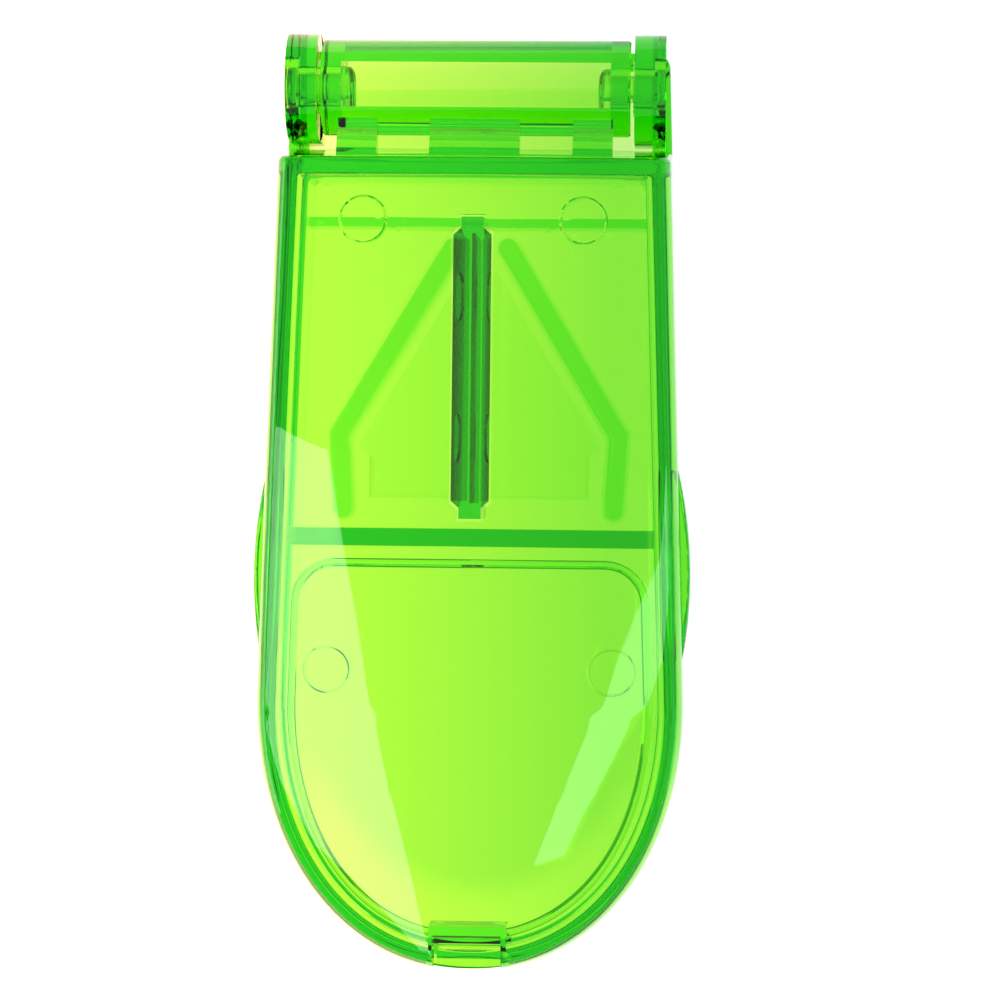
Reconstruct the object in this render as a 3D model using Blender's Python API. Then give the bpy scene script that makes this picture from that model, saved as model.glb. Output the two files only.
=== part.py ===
"""Pill splitter with a storage compartment, moulded in translucent green plastic.

A tray with a V-shaped pill rest and a storage well is closed by a hinged lid. The lid carries a
holder with a stainless blade, which drops into a groove in the tray as the lid comes down.

Metres, +Z up. The origin is the centre of the underside, +Y points to the hinge, -Y to the latch.
"""

import math

import bmesh
import bpy

MM = 0.001

# Plan of the body: nearly straight sides that spread towards a rounded tip.
TIP_Y = -42.5 * MM
ROUND_Y = -18 * MM  # where the straight sides end and the rounded tip begins
ROUND_HALF_WIDTH = 19.4 * MM
ROUND_POWER = 2.15  # a little fuller than an ellipse, which has 2
REAR_HALF_WIDTH = 17.75 * MM
REAR_Y = 32.6 * MM  # foot of the lid's rear wall
ROUND_STEPS = 15
SIDE_STEPS = 5
CORNER_STEPS = 4
EDGE_STEPS = 4

# Heights.
HEIGHT = 20 * MM
PARTING_Z = 8 * MM  # the shoulder of the tray, where the lid's skirt comes down
FLOOR = 2 * MM
RIM_TOP = 8.8 * MM  # the tray's upstanding rim, inside the skirt
GAP = 0.2 * MM  # between neighbouring pieces

# Tray.
TRAY_REAR_Y = 41.6 * MM
TRAY_WALL = 2.1 * MM
RIM_INSET = 1.5 * MM
RIM_REAR_Y = 30.6 * MM
DECK = 1.5 * MM  # under the hinge, over a recess in the underside
DIVIDER_Y = -3.1 * MM
DIVIDER_WALL = 1.6 * MM
DIVIDER_TOP = 16.4 * MM
DIVIDER_SIDE = (  # heights, and how far in from the body's plan the divider's sides are
    (FLOOR / 2, 1.6 * MM),
    (8.5 * MM, 1.6 * MM),
    (9.5 * MM, 1.75 * MM),
    (13 * MM, 1.8 * MM),
    (15 * MM, 2.3 * MM),
)
DIVIDER_TOP_INSET = 3.1 * MM

# Hinge.
HINGE_Y = 37.65 * MM
HINGE_Z = 13.5 * MM
EAR_RADIUS = 4.85 * MM
EAR_INSIDE = 14.3 * MM
EAR_OUTSIDE = 17.1 * MM
BARREL_RADIUS = 4.35 * MM
BARREL_HALF_LENGTH = 13.95 * MM
PIN_RADIUS = 1.2 * MM
PIN_CLEARANCE = 0.08 * MM  # a running fit in the barrel
PIN_HEAD_RADIUS = 1.8 * MM
PIN_HEAD = 0.8 * MM
PIN_INNER_END = 11 * MM

# Pill rest: a V of two ribs, open towards the divider, on a raised pad with the blade's groove.
RIB_WIDTH = 2.2 * MM
RIB_TOP = 4.7 * MM
RIB_PATH = ((2.6 * MM, 23.8 * MM), (13 * MM, 6.3 * MM), (12.6 * MM, -0.6 * MM))
PAD_TOP = 2.4 * MM
PAD_HALF_WIDTH = 10.2 * MM
PAD_FRONT_Y = 0.4 * MM
PAD_RIDGE = 0.3 * MM  # a low ridge along the pad's front and sides
PAD_RIDGE_TOP = 2.65 * MM
GROOVE_WIDTH = 1.2 * MM
GROOVE_FLOOR = 1 * MM
STOP_RIB_Y = 26 * MM
STOP_RIB_WALL = 1.1 * MM
STOP_RIB_TOP = 6 * MM

# Finger grips on the lid's sides.
GRIP_FRONT_Y = -17.1 * MM
GRIP_REAR_Y = 3.7 * MM
GRIP_REACH = 19.8 * MM
GRIP_SUNK = 0.55 * MM  # how deep the arc's ends lie in the skirt
GRIP_BOTTOM = 9.5 * MM
GRIP_TOP = 15 * MM

# Lid.
LID_TOP_WALL = 2 * MM
SKIRT_WALL = 1.2 * MM
SKIRT_SLANT = 0.15 * MM
LID_EDGE_IN = 1 * MM  # how far the rounded top edge reaches in and down
LID_EDGE_DOWN = 2.2 * MM
REAR_EDGE_IN = 0.45 * MM
HOLLOW_EDGE_IN = 1.2 * MM
HOLLOW_EDGE_DOWN = 5 * MM
REAR_SLANT = 1.5 * MM
DROP_START_Y = -2 * MM  # the lid slopes down from here to the tip
TIP_DROP = 3.5 * MM
CROWN = 0.18  # the lid's top is part of a shallow cone whose apex lies ahead of the tip
CROWN_APEX_Y = -53.5 * MM
SPINE_FRONT_Y = -26 * MM
SPINE_REAR_Y = 20 * MM
SEAL_INSET = 3.08 * MM
SEAL_WALL = 0.8 * MM
SEAL_HEIGHT = 1.2 * MM  # below the underside of the lid
SEAL_REAR_Y = -5 * MM
SEAL_CORNER = 4 * MM
POCKET_HALF_LENGTH = 12.15 * MM
POCKET_HALF_WIDTH = 1.85 * MM

# Latch at the tip.
LATCH_HALF_WIDTH = 3.1 * MM
NOTCH_FLOOR = 13 * MM
NOTCH_Y = -39.6 * MM
HOUSING_BOTTOM = 11 * MM
HOUSING_TOP = 15.4 * MM
TAB_BOTTOM = 5.6 * MM

# Blade and its holder.
BLADE_FRONT_Y = 0 * MM
BLADE_REAR_Y = 24.3 * MM
BLADE_BOTTOM = 1.5 * MM
BLADE_TOP = 15.2 * MM
BLADE_THICKNESS = 0.3 * MM
BLADE_BEVEL = 1.2 * MM
BLADE_GAP = 0.08 * MM  # between the blade and the holder moulded round it
SLOT_LENGTH = 4.5 * MM
SLOT_HEIGHT = 3 * MM
SLOT_Z = 12.2 * MM
SLOT_YS = (5.9 * MM, 18.7 * MM)
HOLDER_BOTTOM = 8.7 * MM
HOLDER_TOP = 18.8 * MM
HOLDER_HALF_WIDTH = 1.7 * MM
HOLDER_WAIST_Z = 13.5 * MM
HOLDER_WAIST_HALF_WIDTH = 0.9 * MM
HOLDER_FOOT_HALF_WIDTH = 0.6 * MM
HOLDER_FRONT_Y = -0.4 * MM
HOLDER_REAR_Y = 24.6 * MM
HOLDER_CHAMFER = 0.6 * MM
HOLDER_TONGUE = 1 * MM  # the narrower tongue at each end
HOLDER_TONGUE_HALF_WIDTH = 1 * MM

ROUND_SIDES = 32


def new_collection(name):
    collection = bpy.data.collections.new(name)
    bpy.context.scene.collection.children.link(collection)
    return collection


def add_object(mesh_data, name, collection):
    """Puts a finished bmesh in the scene as an object."""
    bmesh.ops.recalc_face_normals(mesh_data, faces=mesh_data.faces)
    mesh = bpy.data.meshes.new(name)
    mesh_data.to_mesh(mesh)
    mesh_data.free()
    made = bpy.data.objects.new(name, mesh)
    collection.objects.link(made)
    return made


def helper(made):
    """Marks an object as a cutter or an addition, which isn't a part of its own."""
    made.hide_render = True
    made.display_type = "WIRE"
    return made


def combine(target, tool, operation):
    """Joins tool to target, or cuts it away."""
    modifier = target.modifiers.new(f"{operation.lower()}_{tool.name}", "BOOLEAN")
    modifier.operation = operation
    modifier.solver = "EXACT"
    modifier.object = helper(tool)


def loft(name, rings, collection, ring_shaped=False, capped=True):
    """A solid whose skin runs through rings of equal point counts."""
    made = bmesh.new()
    loops = [[made.verts.new(point) for point in ring] for ring in rings]
    pairs = list(zip(loops, loops[1:]))
    if ring_shaped:
        pairs.append((loops[-1], loops[0]))
    for low, high in pairs:
        for index in range(len(low)):
            after = (index + 1) % len(low)
            made.faces.new((low[index], low[after], high[after], high[index]))
    if not ring_shaped:
        made.faces.new(loops[0])
        if capped:
            made.faces.new(loops[-1])
    bmesh.ops.remove_doubles(made, verts=made.verts, dist=1e-6)
    return add_object(made, name, collection)


def prism(name, outline_points, bottom, top, collection):
    """A flat outline raised from bottom to top."""
    rings = [[(x, y, z) for x, y in outline_points] for z in (bottom, top)]
    return loft(name, rings, collection)


def block(name, low, high, collection):
    """A box between two corners."""
    (x0, y0, z0), (x1, y1, z1) = low, high
    return prism(name, ((x0, y0), (x1, y0), (x1, y1), (x0, y1)), z0, z1, collection)


def cross_cylinder(name, radius, start_x, end_x, collection):
    """A cylinder along X, on the hinge's axis."""
    ring = []
    for step in range(ROUND_SIDES):
        angle = 2 * math.pi * (step + 0.5) / ROUND_SIDES
        ring.append((HINGE_Y + radius * math.cos(angle), HINGE_Z + radius * math.sin(angle)))
    rings = [[(x, y, z) for y, z in ring] for x in (start_x, end_x)]
    return loft(name, rings, collection)


def straight_half_width(y):
    """Half the body's width at y, behind the rounded tip."""
    share = (y - ROUND_Y) / (REAR_Y - ROUND_Y)
    return ROUND_HALF_WIDTH + (REAR_HALF_WIDTH - ROUND_HALF_WIDTH) * share


def outline(inset, rear_y, corner):
    """The body's plan, drawn in by inset, with its straight rear edge at rear_y."""
    half = [(0, rear_y)]
    corner_y = rear_y - corner
    corner_x = straight_half_width(corner_y) - inset - corner
    for step in range(CORNER_STEPS + 1):
        angle = math.pi / 2 * (1 - step / CORNER_STEPS)
        half.append((corner_x + corner * math.cos(angle), corner_y + corner * math.sin(angle)))
    for step in range(1, SIDE_STEPS + 1):
        y = corner_y + (ROUND_Y - corner_y) * step / SIDE_STEPS
        half.append((straight_half_width(y) - inset, y))
    for step in range(1, ROUND_STEPS + 1):
        angle = math.pi / 2 * step / ROUND_STEPS
        x = (ROUND_HALF_WIDTH - inset) * max(math.cos(angle), 0) ** (2 / ROUND_POWER)
        y = ROUND_Y + (TIP_Y + inset - ROUND_Y) * math.sin(angle) ** (2 / ROUND_POWER)
        half.append((0 if step == ROUND_STEPS else x, y))
    return half + [(-x, y) for x, y in reversed(half[1:-1])]


def lid_height(x, y):
    """Height of the lid's top: it slopes down to the tip, and is crowned more and more that way."""
    drop = max(0, (DROP_START_Y - y) / (DROP_START_Y - TIP_Y))
    return HEIGHT - TIP_DROP * drop**2 - CROWN * x**2 / (y - CROWN_APEX_Y)


def lid_rings(inset, lowered, bottom, rear_y, corner, edge_in=LID_EDGE_IN, edge_down=LID_EDGE_DOWN):
    """Rings of the lid's skin from the skirt's foot to the centre line, where the last ring closes."""
    foot = outline(inset, rear_y, corner)
    rings = [[(x, y, bottom) for x, y in foot]]
    for step in range(EDGE_STEPS + 1):
        turn = math.pi / 2 * step / EDGE_STEPS
        inward = edge_in * (1 - math.cos(turn))
        down = lowered + edge_down * (1 - math.sin(turn))
        rear = rear_y - REAR_SLANT - inward * REAR_EDGE_IN / LID_EDGE_IN
        edge = outline(inset + SKIRT_SLANT + inward, rear, corner)
        rings.append([(x, y, lid_height(x, y) - down) for x, y in edge])
    for share in (0.12, 0.3, 0.5, 0.75, 1):
        ring = []
        for x, y in edge:
            spine_y = min(max(y, SPINE_FRONT_Y), SPINE_REAR_Y)
            inner_x, inner_y = x * (1 - share), y + (spine_y - y) * share
            ring.append((inner_x, inner_y, lid_height(inner_x, inner_y) - lowered))
        rings.append(ring)
    return rings


def capsule(start, end, width):
    """Outline of a bar with round ends."""
    turn = math.atan2(end[1] - start[1], end[0] - start[0])
    points = []
    for centre, first in ((end, turn - math.pi / 2), (start, turn + math.pi / 2)):
        for step in range(9):
            angle = first + math.pi * step / 8
            points.append(
                (
                    centre[0] + width / 2 * math.cos(angle),
                    centre[1] + width / 2 * math.sin(angle),
                )
            )
    return points


def grip_outline(side, inset):
    """A flat arc that bulges from the lid's side."""
    middle_y = (GRIP_FRONT_Y + GRIP_REAR_Y) / 2
    half_chord = (GRIP_REAR_Y - GRIP_FRONT_Y) / 2 - inset
    root = straight_half_width(middle_y) - GRIP_SUNK - 0.1 * MM
    reach = GRIP_REACH - inset
    end_x = straight_half_width(middle_y) - GRIP_SUNK
    points = []
    for step in range(17):
        share = 2 * step / 16 - 1
        x = end_x + (reach - end_x) * (1 - share**2)
        points.append((side * x, middle_y + half_chord * share))
    return points + [(side * root, points[-1][1]), (side * root, points[0][1])]


def make_tray(parts, tools):
    """The lower moulding: walls, rim, divider, pill rest, storage well, latch seat and hinge ears."""
    skin = (
        (0, 1.7 * MM),
        (0.5 * MM, 1.1 * MM),
        (1.3 * MM, 0.8 * MM),
        (PARTING_Z, 0),
    )
    rings = []
    for z, inset in skin:
        rings.append([(x, y, z) for x, y in outline(inset, TRAY_REAR_Y - inset, 1.5 * MM)])
    tray = loft("base_tray", rings, parts)

    rim = prism("rim", outline(RIM_INSET, RIM_REAR_Y, 1 * MM), FLOOR / 2, RIM_TOP, tools)
    combine(tray, rim, "UNION")

    cavity_outline = outline(TRAY_WALL, RIM_REAR_Y - (TRAY_WALL - RIM_INSET), 0.6 * MM)
    combine(tray, prism("cavity", cavity_outline, FLOOR, HEIGHT, tools), "DIFFERENCE")
    recess = block(
        "hinge_recess",
        (-15.9 * MM, RIM_REAR_Y + 0.5 * MM, -1 * MM),
        (15.9 * MM, TRAY_REAR_Y - 1.6 * MM, PARTING_Z - DECK),
        tools,
    )
    combine(tray, recess, "DIFFERENCE")
    for side, label in ((-1, "left"), (1, "right")):
        add_ear(tray, side, label, tools)
    add_divider(tray, tools)
    add_pill_rest(tray, tools)
    cut_latch_seat(tray, tools)
    return tray


def add_ear(tray, side, label, tools):
    """A round-topped hinge plate with a thrust boss and a stepped hole for its pin."""
    inner, outer = side * EAR_INSIDE, side * EAR_OUTSIDE
    post_side = (
        (HINGE_Y - EAR_RADIUS, PARTING_Z - 1.2 * MM),
        (TRAY_REAR_Y - 1.3 * MM, PARTING_Z - 1.2 * MM),
        (TRAY_REAR_Y - 0.9 * MM, PARTING_Z - 4.5 * MM),
        (HINGE_Y + EAR_RADIUS, PARTING_Z - 1 * MM),
        (HINGE_Y + EAR_RADIUS, HINGE_Z),
        (HINGE_Y - EAR_RADIUS, HINGE_Z),
    )
    rings = [[(x, y, z) for y, z in post_side] for x in (inner, outer)]
    combine(tray, loft(f"ear_post_{label}", rings, tools), "UNION")
    disc = cross_cylinder(f"ear_disc_{label}", EAR_RADIUS, inner, outer, tools)
    combine(tray, disc, "UNION")
    boss = cross_cylinder(
        f"ear_boss_{label}", 2.5 * MM, inner + side * 0.5 * MM, inner - side * 0.15 * MM, tools
    )
    combine(tray, boss, "UNION")
    hole = cross_cylinder(
        f"ear_hole_{label}", PIN_RADIUS + PIN_CLEARANCE, side * 12.5 * MM, outer + side * MM, tools
    )
    combine(tray, hole, "DIFFERENCE")
    counterbore = cross_cylinder(
        f"ear_counterbore_{label}",
        PIN_HEAD_RADIUS + GAP / 2,
        outer - side * (PIN_HEAD + GAP),
        outer + side * MM,
        tools,
    )
    combine(tray, counterbore, "DIFFERENCE")


def add_divider(tray, tools):
    """The cross wall between the pill rest and the storage well."""
    half = straight_half_width(DIVIDER_Y)
    right = [(half - inset, z) for z, inset in DIVIDER_SIDE] + [(half - DIVIDER_TOP_INSET, DIVIDER_TOP)]
    section = right + [(-x, z) for x, z in reversed(right)]
    faces_y = (DIVIDER_Y - DIVIDER_WALL / 2, DIVIDER_Y + DIVIDER_WALL / 2)
    rings = [[(x, y, z) for x, z in section] for y in faces_y]
    combine(tray, loft("divider", rings, tools), "UNION")


def add_pill_rest(tray, tools):
    """The stop rib, the raised pad, the two ribs of the V and the blade's groove."""
    reach = straight_half_width(STOP_RIB_Y) - TRAY_WALL + 0.3 * MM
    stop_rib = block(
        "stop_rib",
        (-reach, STOP_RIB_Y - STOP_RIB_WALL / 2, FLOOR / 2),
        (reach, STOP_RIB_Y + STOP_RIB_WALL / 2, STOP_RIB_TOP),
        tools,
    )
    combine(tray, stop_rib, "UNION")
    pad_half = (
        (PAD_HALF_WIDTH, PAD_FRONT_Y),
        (PAD_HALF_WIDTH, 4.3 * MM),
        (11.4 * MM, 5 * MM),
        (1.5 * MM, 21.6 * MM),
    )
    pad_outline = list(pad_half) + [(-x, y) for x, y in reversed(pad_half)]
    combine(tray, prism("pad", pad_outline, FLOOR / 2, PAD_TOP, tools), "UNION")
    ridge_low = (-PAD_HALF_WIDTH, PAD_FRONT_Y, FLOOR / 2)
    ridge_high = (PAD_HALF_WIDTH, PAD_FRONT_Y + PAD_RIDGE, PAD_RIDGE_TOP)
    combine(tray, block("pad_front_ridge", ridge_low, ridge_high, tools), "UNION")
    for side, label in ((-1, "left"), (1, "right")):
        path = [(side * x, y) for x, y in RIB_PATH]
        for number, (start, end) in enumerate(zip(path, path[1:])):
            bar = capsule(start, end, RIB_WIDTH)
            rib = prism(f"rib_{label}_{number}", bar, FLOOR / 2, RIB_TOP - number * 0.01 * MM, tools)
            combine(tray, rib, "UNION")
        edge_x = sorted((side * PAD_HALF_WIDTH, side * (PAD_HALF_WIDTH - PAD_RIDGE)))
        ridge_low = (edge_x[0], PAD_FRONT_Y, FLOOR / 2)
        ridge_high = (edge_x[1], PAD_FRONT_Y + 4 * MM, PAD_RIDGE_TOP)
        combine(tray, block(f"pad_side_ridge_{label}", ridge_low, ridge_high, tools), "UNION")
    groove = block(
        "groove",
        (-GROOVE_WIDTH / 2, BLADE_FRONT_Y - 1 * MM, GROOVE_FLOOR),
        (GROOVE_WIDTH / 2, BLADE_REAR_Y + 0.6 * MM, HEIGHT),
        tools,
    )
    combine(tray, groove, "DIFFERENCE")


def cut_latch_seat(tray, tools):
    """Room in the tray's tip for the lid's tab, with a ridge that its barb snaps under."""
    clear = LATCH_HALF_WIDTH + 0.3 * MM
    boss = block(
        "latch_boss",
        (-clear - 0.35 * MM, TIP_Y + 1.95 * MM, FLOOR / 2),
        (clear + 0.35 * MM, TIP_Y + 3.1 * MM, RIM_TOP),
        tools,
    )
    combine(tray, boss, "UNION")
    seat = block(
        "tab_seat",
        (-clear, TIP_Y - MM, TAB_BOTTOM - 0.3 * MM),
        (clear, TIP_Y + 1.6 * MM, PARTING_Z + 1.5 * MM),
        tools,
    )
    combine(tray, seat, "DIFFERENCE")
    barb_groove = block(
        "barb_groove",
        (-clear, TIP_Y, TAB_BOTTOM - 0.3 * MM),
        (clear, TIP_Y + 2.1 * MM, TAB_BOTTOM + 1.3 * MM),
        tools,
    )
    combine(tray, barb_groove, "DIFFERENCE")


def make_lid(parts, tools):
    """The upper moulding: crowned shell, sealing ring, hinge barrel, latch tab and holder seat."""
    foot = PARTING_Z + GAP
    lid = loft("lid", lid_rings(0, 0, foot, REAR_Y, 0.6 * MM), parts, capped=False)
    hollow_rings = lid_rings(
        SKIRT_WALL,
        LID_TOP_WALL,
        foot - 2 * MM,
        REAR_Y - SKIRT_WALL,
        0.4 * MM,
        HOLLOW_EDGE_IN,
        HOLLOW_EDGE_DOWN,
    )
    combine(lid, loft("lid_hollow", hollow_rings, tools, capped=False), "DIFFERENCE")
    add_sealing_ring(lid, tools)
    add_grips(lid, tools)
    add_latch(lid, tools)
    add_barrel(lid, tools)
    seat_outline = holder_outline(HOLDER_HALF_WIDTH + GAP, GAP)
    seat_top = HOLDER_TOP + GAP
    combine(lid, prism("holder_seat", seat_outline, 15 * MM, seat_top, tools), "DIFFERENCE")
    return lid


def add_sealing_ring(lid, tools):
    """A closed rim under the lid, round the storage well's mouth."""
    inner_inset = SEAL_INSET + SEAL_WALL
    outer = outline(SEAL_INSET, SEAL_REAR_Y, SEAL_CORNER)
    inner = outline(inner_inset, SEAL_REAR_Y - SEAL_WALL, SEAL_CORNER - SEAL_WALL)
    sunk, foot = LID_TOP_WALL / 2, LID_TOP_WALL + SEAL_HEIGHT
    rings = []
    for plan, down in ((outer, foot), (outer, sunk), (inner, sunk), (inner, foot)):
        rings.append([(x, y, lid_height(x, y) - down) for x, y in plan])
    combine(lid, loft("sealing_ring", rings, tools, ring_shaped=True), "UNION")


def add_grips(lid, tools):
    """Two bulges on the skirt, by which the lid is lifted."""
    for side, label in ((-1, "left"), (1, "right")):
        rings = []
        for z, inset in (
            (GRIP_BOTTOM, 0.3 * MM),
            (GRIP_BOTTOM + 0.3 * MM, 0),
            (GRIP_TOP - 0.3 * MM, 0),
            (GRIP_TOP, 0.3 * MM),
        ):
            rings.append([(x, y, z) for x, y in grip_outline(side, inset)])
        combine(lid, loft(f"grip_{label}", rings, tools), "UNION")


def add_latch(lid, tools):
    """A thumb notch in the lid's tip, and below it a springy tab with a barb."""
    housing_half = LATCH_HALF_WIDTH + 0.35 * MM
    housing_side = (
        (TIP_Y + 1.1 * MM, HOUSING_BOTTOM),
        (TIP_Y + 1.9 * MM, HOUSING_TOP),
        (NOTCH_Y + 1.5 * MM, HOUSING_TOP),
        (NOTCH_Y + 1.5 * MM, HOUSING_BOTTOM),
    )
    rings = [[(x, y, z) for y, z in housing_side] for x in (-housing_half, housing_half)]
    combine(lid, loft("notch_housing", rings, tools), "UNION")
    notch_back = ((TIP_Y - MM, NOTCH_FLOOR), (NOTCH_Y, NOTCH_FLOOR), (NOTCH_Y + 1.2 * MM, HEIGHT))
    notch_side = list(notch_back) + [(TIP_Y - MM, HEIGHT)]
    rings = [[(x, y, z) for y, z in notch_side] for x in (-LATCH_HALF_WIDTH, LATCH_HALF_WIDTH)]
    combine(lid, loft("thumb_notch", rings, tools), "DIFFERENCE")
    for side, label in ((-1, "left"), (1, "right")):
        near, far = side * LATCH_HALF_WIDTH, side * (LATCH_HALF_WIDTH + 0.4 * MM)
        slit = block(
            f"slit_{label}",
            (min(near, far), TIP_Y - MM, PARTING_Z - MM),
            (max(near, far), TIP_Y + 1.5 * MM, PARTING_Z + 1.6 * MM),
            tools,
        )
        combine(lid, slit, "DIFFERENCE")
    tab_front, tab_back = TIP_Y + 0.6 * MM, TIP_Y + 1.4 * MM
    barb_back = tab_back + 0.45 * MM
    side_view = (
        (tab_front, TAB_BOTTOM),
        (tab_back, TAB_BOTTOM),
        (barb_back, TAB_BOTTOM + 0.5 * MM),
        (barb_back, TAB_BOTTOM + 1 * MM),
        (tab_back, TAB_BOTTOM + 1 * MM),
        (tab_back, PARTING_Z + 2 * MM),
        (tab_front, PARTING_Z + 2 * MM),
    )
    tab_half = LATCH_HALF_WIDTH - 0.05 * MM
    rings = [[(x, y, z) for y, z in side_view] for x in (-tab_half, tab_half)]
    combine(lid, loft("latch_tab", rings, tools), "UNION")


def add_barrel(lid, tools):
    """The hinge barrel behind the lid, its bridge and gussets, the pocket and the pin holes."""
    barrel = cross_cylinder("barrel", BARREL_RADIUS, -BARREL_HALF_LENGTH, BARREL_HALF_LENGTH, tools)
    combine(lid, barrel, "UNION")
    bridge = block(
        "bridge",
        (-12.2 * MM, REAR_Y - 1.9 * MM, 14.6 * MM),
        (12.2 * MM, HINGE_Y - 2.4 * MM, 16.2 * MM),
        tools,
    )
    combine(lid, bridge, "UNION")
    for label, middle, half in (("left", -10.6, 1.8), ("centre", 0, 4.05), ("right", 10.6, 1.8)):
        gusset_side = (
            (REAR_Y - 2 * MM, 15 * MM),
            (HINGE_Y - 3 * MM, 15 * MM),
            (HINGE_Y - 3 * MM, 16.6 * MM),
            (REAR_Y - 1.2 * MM, 18.2 * MM),
            (REAR_Y - 2 * MM, 18.2 * MM),
        )
        ends = ((middle - half) * MM, (middle + half) * MM)
        rings = [[(x, y, z) for y, z in gusset_side] for x in ends]
        combine(lid, loft(f"gusset_{label}", rings, tools), "UNION")
    pocket = block(
        "barrel_pocket",
        (-POCKET_HALF_LENGTH, HINGE_Y - POCKET_HALF_WIDTH, HINGE_Z - 6 * MM),
        (POCKET_HALF_LENGTH, HINGE_Y + POCKET_HALF_WIDTH, HINGE_Z + 2.8 * MM),
        tools,
    )
    combine(lid, pocket, "DIFFERENCE")
    for side, label in ((-1, "left"), (1, "right")):
        hole = cross_cylinder(
            f"barrel_hole_{label}", PIN_RADIUS + PIN_CLEARANCE, side * 11 * MM, side * 15 * MM, tools
        )
        combine(lid, hole, "DIFFERENCE")


def holder_outline(half_width, grow):
    """Plan of the blade holder: chamfered corners and a narrower tongue at each end."""
    tongue = HOLDER_TONGUE_HALF_WIDTH + grow
    shoulder = HOLDER_REAR_Y + grow
    right = (
        (tongue, shoulder + HOLDER_TONGUE),
        (tongue, shoulder),
        (half_width, shoulder - HOLDER_CHAMFER),
    )
    front_shoulder = HOLDER_FRONT_Y - grow
    right += (
        (half_width, front_shoulder + HOLDER_CHAMFER),
        (tongue, front_shoulder),
        (tongue, front_shoulder - HOLDER_TONGUE),
    )
    return list(right) + [(-x, y) for x, y in reversed(right)]


def make_holder(parts, tools):
    """The holder under the lid, moulded round the blade's upper half and through its two slots."""
    rings = []
    for z, half_width in (
        (HOLDER_BOTTOM, HOLDER_FOOT_HALF_WIDTH),
        (HOLDER_WAIST_Z, HOLDER_WAIST_HALF_WIDTH),
        (HOLDER_TOP, HOLDER_HALF_WIDTH),
    ):
        ring = holder_outline(half_width, 0)
        rings.append([(max(min(x, half_width), -half_width), y, z) for x, y in ring])
    holder = loft("blade_holder", rings, parts)
    room = block(
        "blade_room",
        (-BLADE_THICKNESS / 2 - BLADE_GAP, BLADE_FRONT_Y - BLADE_GAP, HOLDER_BOTTOM - MM),
        (BLADE_THICKNESS / 2 + BLADE_GAP, BLADE_REAR_Y + BLADE_GAP, BLADE_TOP + BLADE_GAP),
        tools,
    )
    for number, y in enumerate(SLOT_YS):
        plug_length, plug_radius = SLOT_LENGTH / 2 - BLADE_GAP, SLOT_HEIGHT / 2 - BLADE_GAP
        plug = slot_prism(f"plug_{number}", y, plug_length, plug_radius, tools)
        combine(room, plug, "DIFFERENCE")
    combine(holder, room, "DIFFERENCE")
    return holder


def slot_prism(name, centre_y, half_length, radius, collection):
    """A bar along X with the blade slot's section: straight along Y, with round ends."""
    section = capsule(
        (centre_y - half_length + radius, SLOT_Z), (centre_y + half_length - radius, SLOT_Z), 2 * radius
    )
    rings = [[(x, y, z) for y, z in section] for x in (-MM, MM)]
    return loft(name, rings, collection)


def make_blade(parts, tools):
    """A flat stainless blade, ground to an edge on both faces, with two slots near its spine."""
    half = BLADE_THICKNESS / 2
    section = (
        (-half, BLADE_TOP),
        (-half, BLADE_BOTTOM + BLADE_BEVEL),
        (-0.015 * MM, BLADE_BOTTOM),
        (0.015 * MM, BLADE_BOTTOM),
        (half, BLADE_BOTTOM + BLADE_BEVEL),
        (half, BLADE_TOP),
    )
    rings = [[(x, y, z) for x, z in section] for y in (BLADE_FRONT_Y, BLADE_REAR_Y)]
    blade = loft("blade", rings, parts)
    for number, y in enumerate(SLOT_YS):
        slot = slot_prism(f"blade_slot_{number}", y, SLOT_LENGTH / 2, SLOT_HEIGHT / 2, tools)
        combine(blade, slot, "DIFFERENCE")
    return blade


def make_pin(side, label, parts, tools):
    """A headed plastic pin, pressed in from outside the ear, on which the barrel turns."""
    outer = side * EAR_OUTSIDE
    pin = cross_cylinder(f"hinge_pin_{label}", PIN_RADIUS, outer, side * PIN_INNER_END, parts)
    head = cross_cylinder(
        f"pin_head_{label}", PIN_HEAD_RADIUS, outer, outer - side * PIN_HEAD, tools
    )
    combine(pin, head, "UNION")
    return pin


def paint(made, colour, roughness, metallic, transmission=0.0):
    """Gives a part its own material."""
    material = bpy.data.materials.new(made.name)
    material.use_nodes = True
    shader = material.node_tree.nodes["Principled BSDF"]
    shader.inputs["Base Color"].default_value = (*colour, 1)
    shader.inputs["Roughness"].default_value = roughness
    shader.inputs["Metallic"].default_value = metallic
    shader.inputs["Transmission Weight"].default_value = transmission
    made.data.materials.append(material)


def main():
    for old in list(bpy.data.objects):
        bpy.data.objects.remove(old)
    parts = new_collection("pill_splitter")
    tools = new_collection("cutters_and_additions")
    green = (0.42, 0.87, 0.05)
    clear_parts = [make_tray(parts, tools), make_lid(parts, tools), make_holder(parts, tools)]
    for side, label in ((-1, "left"), (1, "right")):
        clear_parts.append(make_pin(side, label, parts, tools))
    for made in clear_parts:
        paint(made, green, 0.06, 0, transmission=0.9)
    paint(make_blade(parts, tools), (0.62, 0.63, 0.64), 0.25, 1)


main()
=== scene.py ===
"""Looks of the pill splitter: clear green mouldings, a steel blade, a white table and soft lights.

Each clear moulding is rebuilt more finely than its CAD node, with fillets, draft and the marks of
its mould, and stands for that node. The blade keeps its CAD shape.
"""

import math

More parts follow.
